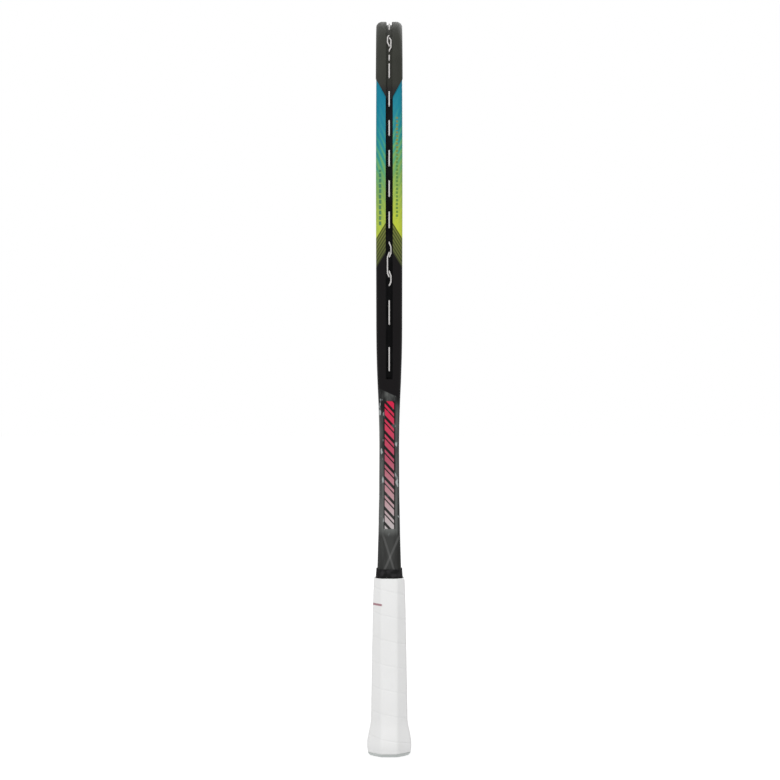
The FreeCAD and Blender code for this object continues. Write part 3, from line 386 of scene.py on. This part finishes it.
def bumper_finish():
    """Grey-olive moulded bumper: fine spark-eroded grain, scuffed at the tip of the head."""
    f = Finish("bumper_nylon")
    grain = f.noise(1400.0, 2.0)
    cloud = f.noise(60.0, 4.0, (1, 1, 0.35))
    colour = f.mix(cloud, shade(40, 41, 36), shade(58, 59, 53))
    # a scuff shows where the head meets the wall and the floor
    scratch = f.above(f.noise(260.0, 5.0, (0.25, 1, 1), (0.2, 0, 0.4)), 0.6, 0.08)
    worn = scratch * f.above(f.height, 676.0, 10.0)
    colour = f.mix(worn * 0.35, colour, shade(104, 104, 98))
    # below 611 mm, towards its lower points, the bumper's colour goes near black
    colour = f.mix(f.above(f.height, 611.0, 8.0), shade(38, 36, 35), colour)
    return f.finished(
        Base_Color=colour,
        Roughness=0.46 + grain * 0.16,
        Specular_IOR_Level=0.12,
        Normal=f.bump(grain, 0.00006),
    )


def string_finish():
    """White multifilament string: faint twisted filaments and a little grime."""
    f = Finish("string_filament")
    filament = f.noise(2600.0, 2.0, (1, 1, 0.5))
    grime = f.noise(55.0, 3.0)
    clean = f.mix(filament, shade(206, 203, 200), shade(232, 230, 228))
    return f.finished(
        Base_Color=f.mix(f.above(grime, 0.6, 0.2) * 0.25, clean, shade(176, 170, 166)),
        Roughness=0.34 + filament * 0.2,
        Normal=f.bump(filament, 0.00005),
    )


def foam_finish():
    """Moulded grey-green foam of the handle pallets, full of fine cells."""
    f = Finish("pallet_foam")
    cells = f.node("TexVoronoi", values={"Vector": f.place, "Scale": 1300.0})
    cloud = f.noise(80.0, 3.0)
    return f.finished(
        Base_Color=f.mix(cloud, shade(150, 152, 140), shade(176, 178, 166)),
        Roughness=0.7 + cells * 0.2,
        Normal=f.bump(cells, 0.0001),
    )


def cap_finish():
    """Pale moulded butt cap with a fine matt texture."""
    f = Finish("pale_cap")
    cloud = f.noise(110.0, 3.0)
    return f.finished(
        Base_Color=f.mix(cloud, shade(206, 212, 210), shade(220, 224, 222)),
        Roughness=0.42 + cloud * 0.14,
        Normal=f.bump(f.noise(1500.0, 2.0), 0.00004),
    )


def tack_finish():
    """Blued steel tacks, brushed and a little stained."""
    f = Finish("blued_tack")
    brush = f.noise(700.0, 3.0, (1, 1, 0.2))
    return f.finished(
        Base_Color=f.mix(brush, shade(120, 120, 124), shade(164, 164, 166)),
        Metallic=1.0,
        Roughness=0.3 + brush * 0.25,
        Normal=f.bump(brush, 0.00003),
    )


def badge_finish():
    """Bare grey badge with turned rings."""
    f = Finish("bare_badge")
    radius = (f.across * f.across + f.depth * f.depth).maths("SQRT")
    ring = f.between(radius % 1.5, 0.4, 1.1, 0.4)
    return f.finished(
        Base_Color=f.mix(ring, shade(150, 154, 152), shade(176, 180, 178)),
        Roughness=0.36 + ring * 0.12,
        Normal=f.bump(ring, 0.0001),
    )


def tape_finish():
    """Black vinyl tape with a fine stretch grain round the shaft."""
    f = Finish("vinyl_tape")
    stretch = f.noise(500.0, 3.0, (0.3, 0.3, 2.0))
    return f.finished(
        Base_Color=f.mix(stretch, shade(16, 16, 17), shade(32, 32, 33)),
        Roughness=0.4 + stretch * 0.14,
        Specular_IOR_Level=0.12,
        Normal=f.bump(stretch, 0.00004),
    )


def collar_finish():
    """Soft black rubber, dusty where it is handled."""
    f = Finish("collar_rubber")
    dust = f.noise(240.0, 4.0)
    return f.finished(
        Base_Color=f.mix(f.above(dust, 0.55, 0.3), shade(10, 9, 10), shade(44, 42, 44)),
        Roughness=0.5 + dust * 0.2,
        Specular_IOR_Level=0.12,
        Normal=f.bump(f.noise(1300.0, 3.0), 0.00006),
    )


# heights of the two edges of the red mark on the grip, in millimetres above the butt
GRIP_MARK = (140.2, 142.2)


def grip_finish():
    """White cushion wrap: fine leather grain, hand-soiled a little, with one thin red mark."""
    f = Finish("cushion_wrap")
    grain = f.node("TexVoronoi", values={"Vector": f.place, "Scale": 1500.0})
    soil = f.noise(38.0, 4.0)
    colour = f.mix(soil, shade(236, 236, 235), shade(246, 246, 246))
    seam = f.node("Attribute", {"attribute_name": "seam"}, output="Fac")
    colour = f.mix(seam * 0.06, colour, shade(190, 190, 190))
    # the mark leans a little, on the front's +X side and the bevel beside it
    corner = f.above(f.across, 4.0, 1.0) * (1 - f.above(f.depth, -6.8, 1.2))
    mark = f.between(f.height + f.depth * 0.06, *GRIP_MARK, 0.6) * corner
    colour = f.mix(mark * 0.85, colour, shade(150, 84, 98))
    return f.finished(
        Base_Color=colour,
        Roughness=0.52 + soil * 0.12,
        Sheen_Weight=0.08,
        Normal=f.bump(grain + seam * -0.6, 0.00006),
    )


# ---------------------------------------------------------------- the wrapped grip

# half depth of the grip, front to back, at heights above the butt, in millimetres
GRIP_HEIGHTS = [3.6, 6.0, 9.0, 14.0, 20.0, 30.0, 140.0, 160.0, 166.0]
GRIP_HALF_DEPTHS = [19.6, 20.7, 21.2, 20.6, 19.5, 17.3, 15.35, 14.65, 14.2]
# its extra half width over its half depth, its flats on the sides and on the faces, its wall, and
# the room left at its top
GRIP_EXTRA = 0.75
FLAT_ACROSS = 14.8
FLAT_ALONG = 16.4
GRIP_WALL = 1.9
TOP_ROOM = 0.02

# the wrap: its turns, how far its face is sunk, and how far its features rise or sink from that
WRAP_PITCH = 23.0
WRAP_START = 0.3
WRAP_SUNK = 0.16
CROWN_RISE = 0.09
RIDGE_RISE = 0.05
RIDGE_OFF = 1.6
RIDGE_REACH = 1.1
DIP_SINK = 0.16
DIP_REACH = 0.45
LIP_ROUND = 0.96

# points round the grip and rings along it; the inside keeps every sixth ring
AROUND = 256
ALONG = 330
INSIDE_STEP = 6


def blurred(values, axis, width, closed):
    """A running mean of an array along an axis, taken twice, which rounds what is sharp."""
    for _ in range(2):
        mode = "wrap" if closed else "edge"
        pads = [(0, 0)] * values.ndim
        pads[axis] = (width, width)
        padded = np.pad(values, pads, mode=mode)
        total = sum(
            np.take(padded, np.arange(n, n + values.shape[axis]), axis=axis)
            for n in range(2 * width + 1)
        )
        values = total / (2 * width + 1)
    return values


def grip_ring(half_depth):
    """Rings of points round the grip, one for each half depth: an octagon with eased corners.

    Each octagon's eight corners come from the half depth, the extra width and the two flats.
    Points are spread evenly along each side, and a running mean round the ring eases the corners.
    """
    half_wide = half_depth + GRIP_EXTRA
    side = np.full_like(half_depth, FLAT_ACROSS / 2)
    face = np.full_like(half_depth, FLAT_ALONG / 2)
    corners_x = np.stack(
        [half_wide, half_wide, face, -face, -half_wide, -half_wide, -face, face], axis=1
    )
    corners_y = np.stack(
        [-side, side, half_depth, half_depth, side, -side, -half_depth, -half_depth], axis=1
    )
    turn = np.arange(AROUND) / AROUND * 8
    first = turn.astype(int)
    share = turn - first
    after = (first + 1) % 8
    x = corners_x[:, first] * (1 - share) + corners_x[:, after] * share
    y = corners_y[:, first] * (1 - share) + corners_y[:, after] * share
    return blurred(x, 1, 3, True), blurred(y, 1, 3, True)


def wrapped_grip():
    """The wrap over the handle, as one closed skin.

    The outside is a ring at each height. The wrap's phase is the height plus the pitch times the
    share of a turn; each turn is crowned, dips at its overlap and has a raised edge beside it.
    The skin turns in over a round lip at the top, runs down inside at the wall's thickness and
    closes under the foot.
    """
    low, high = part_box("cushion_grip")
    bottom, top = low.z * PER_METRE, high.z * PER_METRE
    lip = GRIP_WALL / 2
    heights = np.linspace(bottom, top - TOP_ROOM, ALONG)
    half = np.interp(heights, GRIP_HEIGHTS, GRIP_HALF_DEPTHS)
    half = blurred(half, 0, 7, False)
    x, y = grip_ring(half)
    angle = np.arctan2(y, x) / math.tau
    phase = ((heights[:, None] + WRAP_PITCH * (angle + WRAP_START)) / WRAP_PITCH) % 1.0
    off = np.minimum(phase, 1 - phase) * WRAP_PITCH
    dip = np.exp(-((off / DIP_REACH) ** 2))
    ridge = np.exp(-(((phase * WRAP_PITCH - RIDGE_OFF) / RIDGE_REACH) ** 2))
    crown = np.sin(phase * math.pi)
    inwards = WRAP_SUNK - CROWN_RISE * crown - RIDGE_RISE * ridge + DIP_SINK * dip
    from_top = np.clip((heights - (top - lip)) / lip, 0, 1)[:, None]
    from_foot = np.clip((bottom + lip - heights) / lip, 0, 1)[:, None]
    for near_end in (from_top, from_foot):
        inwards = inwards + lip * (1 - np.sqrt(1 - near_end**2 * LIP_ROUND))
    reach = np.hypot(x, y)
    outer = np.stack([x * (1 - inwards / reach), y * (1 - inwards / reach)], axis=2)
    inner = np.stack([x * (1 - GRIP_WALL / reach), y * (1 - GRIP_WALL / reach)], axis=2)
    rows = np.concatenate([outer, inner[::-INSIDE_STEP], inner[:1]])
    levels = np.concatenate([heights, heights[::-INSIDE_STEP], heights[:1]])
    seam = np.concatenate([dip, np.zeros((len(levels) - ALONG, AROUND))])
    points = np.concatenate([rows, np.repeat(levels[:, None, None], AROUND, axis=1)], axis=2)
    return ring_mesh("cushion_wrap", points / PER_METRE, seam)


def ring_mesh(name, points, seam):
    """A mesh from closed rings of points, joined ring to ring and the last ring to the first."""
    count, around, _ = points.shape
    here = np.arange(count * around).reshape(count, around)
    above = np.roll(here, -1, axis=0)
    quads = np.stack(
        [here, np.roll(here, -1, axis=1), np.roll(above, -1, axis=1), above], axis=2
    ).reshape(-1, 4)
    mesh = bpy.data.meshes.new(name)
    mesh.vertices.add(count * around)
    mesh.vertices.foreach_set("co", points.astype(np.float32).ravel())
    mesh.loops.add(quads.size)
    mesh.loops.foreach_set("vertex_index", quads.astype(np.int32).ravel())
    mesh.polygons.add(len(quads))
    mesh.polygons.foreach_set("loop_start", np.arange(0, quads.size, 4, dtype=np.int32))
    mesh.update(calc_edges=True)
    mesh.validate()
    mesh.polygons.foreach_set("use_smooth", np.ones(len(mesh.polygons), dtype=bool))
    marked = mesh.attributes.new("seam", "FLOAT", "POINT")
    marked.data.foreach_set("value", seam.astype(np.float32).ravel())
    made = bpy.data.objects.new(name, mesh)
    bpy.context.scene.collection.objects.link(made)
    return made


def cover(node, material):
    """Gives a CAD node a finish."""
    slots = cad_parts[node].data.materials
    slots.clear()
    slots.append(material)


FRAME = frame_finish()
WEDGE = wedge_finish()
STRIP = strip_finish()
BUMPER = bumper_finish()
STRING = string_finish()
FOAM = foam_finish()
CAP = cap_finish()
FINISHES = {
    "frame_shell": FRAME,
    "throat_wedge": WEDGE,
    "throat_liner": STRIP,
    "side_strip_left": STRIP,
    "side_strip_right": STRIP,
    "throat_strip_left": STRIP,
    "throat_strip_right": STRIP,
    "bumper_guard": BUMPER,
    "main_string": STRING,
    "cross_string": STRING,
    "string_knots": STRING,
    "tube_end_plugs": FOAM,
    "handle_pallet_front": FOAM,
    "handle_pallet_back": FOAM,
    "butt_cap": CAP,
    "butt_cap_tacks": tack_finish(),
    "butt_badge": badge_finish(),
    "finishing_tape": tape_finish(),
    "grip_collar": collar_finish(),
}
for node, material in FINISHES.items():
    cover(node, material)

grip = wrapped_grip()
grip.data.materials.append(grip_finish())
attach(grip, "racket")
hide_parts("cushion_grip")


# ---------------------------------------------------------------- stage, light and camera


WHITE = (1.0, 1.0, 1.0, 1.0)
FLOOR_REACH = 12.0
# strengths of the floor's own light, as it lights other things and as it is looked at
FLOOR_GLOW = 0.24
FLOOR_WHITE = 0.78
# strengths of the world, the same way
WORLD_LIGHT = 0.58
WORLD_WHITE = 1.0


def stage_finish():
    """A pale floor that shows white to the camera and keeps a soft shadow."""
    f = Finish("pale_floor")
    strength = f.looked_at() * (FLOOR_WHITE - FLOOR_GLOW) + FLOOR_GLOW
    glow = f.node("Emission", values={"Color": WHITE, "Strength": strength})
    pale = f.mix(f.noise(3.0, 2.0), shade(168, 168, 168), shade(172, 172, 172))
    matt = f.node("BsdfDiffuse", values={"Color": pale})
    both = f.node("AddShader", values={0: glow, 1: matt})
    f.node("OutputMaterial", values={"Surface": both})
    return f.material


floor_mesh = bpy.data.meshes.new("floor")
floor_mesh.from_pydata(
    [(sx * FLOOR_REACH, sy * FLOOR_REACH, 0.0) for sx, sy in ((-1, -1), (1, -1), (1, 1), (-1, 1))],
    [],
    [(0, 1, 2, 3)],
)
floor = bpy.data.objects.new("floor", floor_mesh)
floor.data.materials.append(stage_finish())
bpy.context.scene.collection.objects.link(floor)


def light_world():
    """White behind everything that is looked at, and a plain grey light on it all."""
    world = bpy.data.worlds.new("studio")
    bpy.context.scene.world = world
    sky = Shading(world)
    ends = {"To Min": WORLD_LIGHT, "To Max": WORLD_WHITE}
    level = sky.node("MapRange", values={"Value": sky.looked_at(), **ends})
    shine = sky.node("Background", values={"Color": WHITE, "Strength": level})
    sky.node("OutputWorld", values={"Surface": shine})


def panel_light(name, place, aim, width, watts):
    """A square soft light that looks at a point."""
    lamp = bpy.data.lights.new(name, "AREA")
    lamp.shape = "SQUARE"
    lamp.size = width
    lamp.energy = watts
    made = bpy.data.objects.new(name, lamp)
    made.location = place
    made.rotation_mode = "QUATERNION"
    made.rotation_quaternion = (Vector(aim) - Vector(place)).to_track_quat("-Z", "Y")
    bpy.context.scene.collection.objects.link(made)


light_world()
MIDDLE = (cad_low + cad_high) / 2
panel_light("key", (2.0, -0.6, 1.5), aim=MIDDLE, width=1.2, watts=24.0)
panel_light("fill", (1.2, 1.9, 0.9), aim=MIDDLE, width=1.2, watts=3.0)
panel_light("rear", (-1.9, 0.5, 1.5), aim=MIDDLE, width=1.4, watts=14.0)

# the camera looks level along -X, at the racket's edge
camera = bpy.data.cameras.new("camera")
camera.sensor_width = 36.0
camera.lens = 86.67
eye = bpy.data.objects.new("camera", camera)
eye.location = (1.76, 0.0007, 0.3415)
eye.rotation_mode = "QUATERNION"
eye.rotation_quaternion = Vector((-1.0, 0.0, 0.0)).to_track_quat("-Z", "Y")
bpy.context.scene.collection.objects.link(eye)
bpy.context.scene.camera = eye
bpy.context.scene.view_settings.view_transform = "Standard"
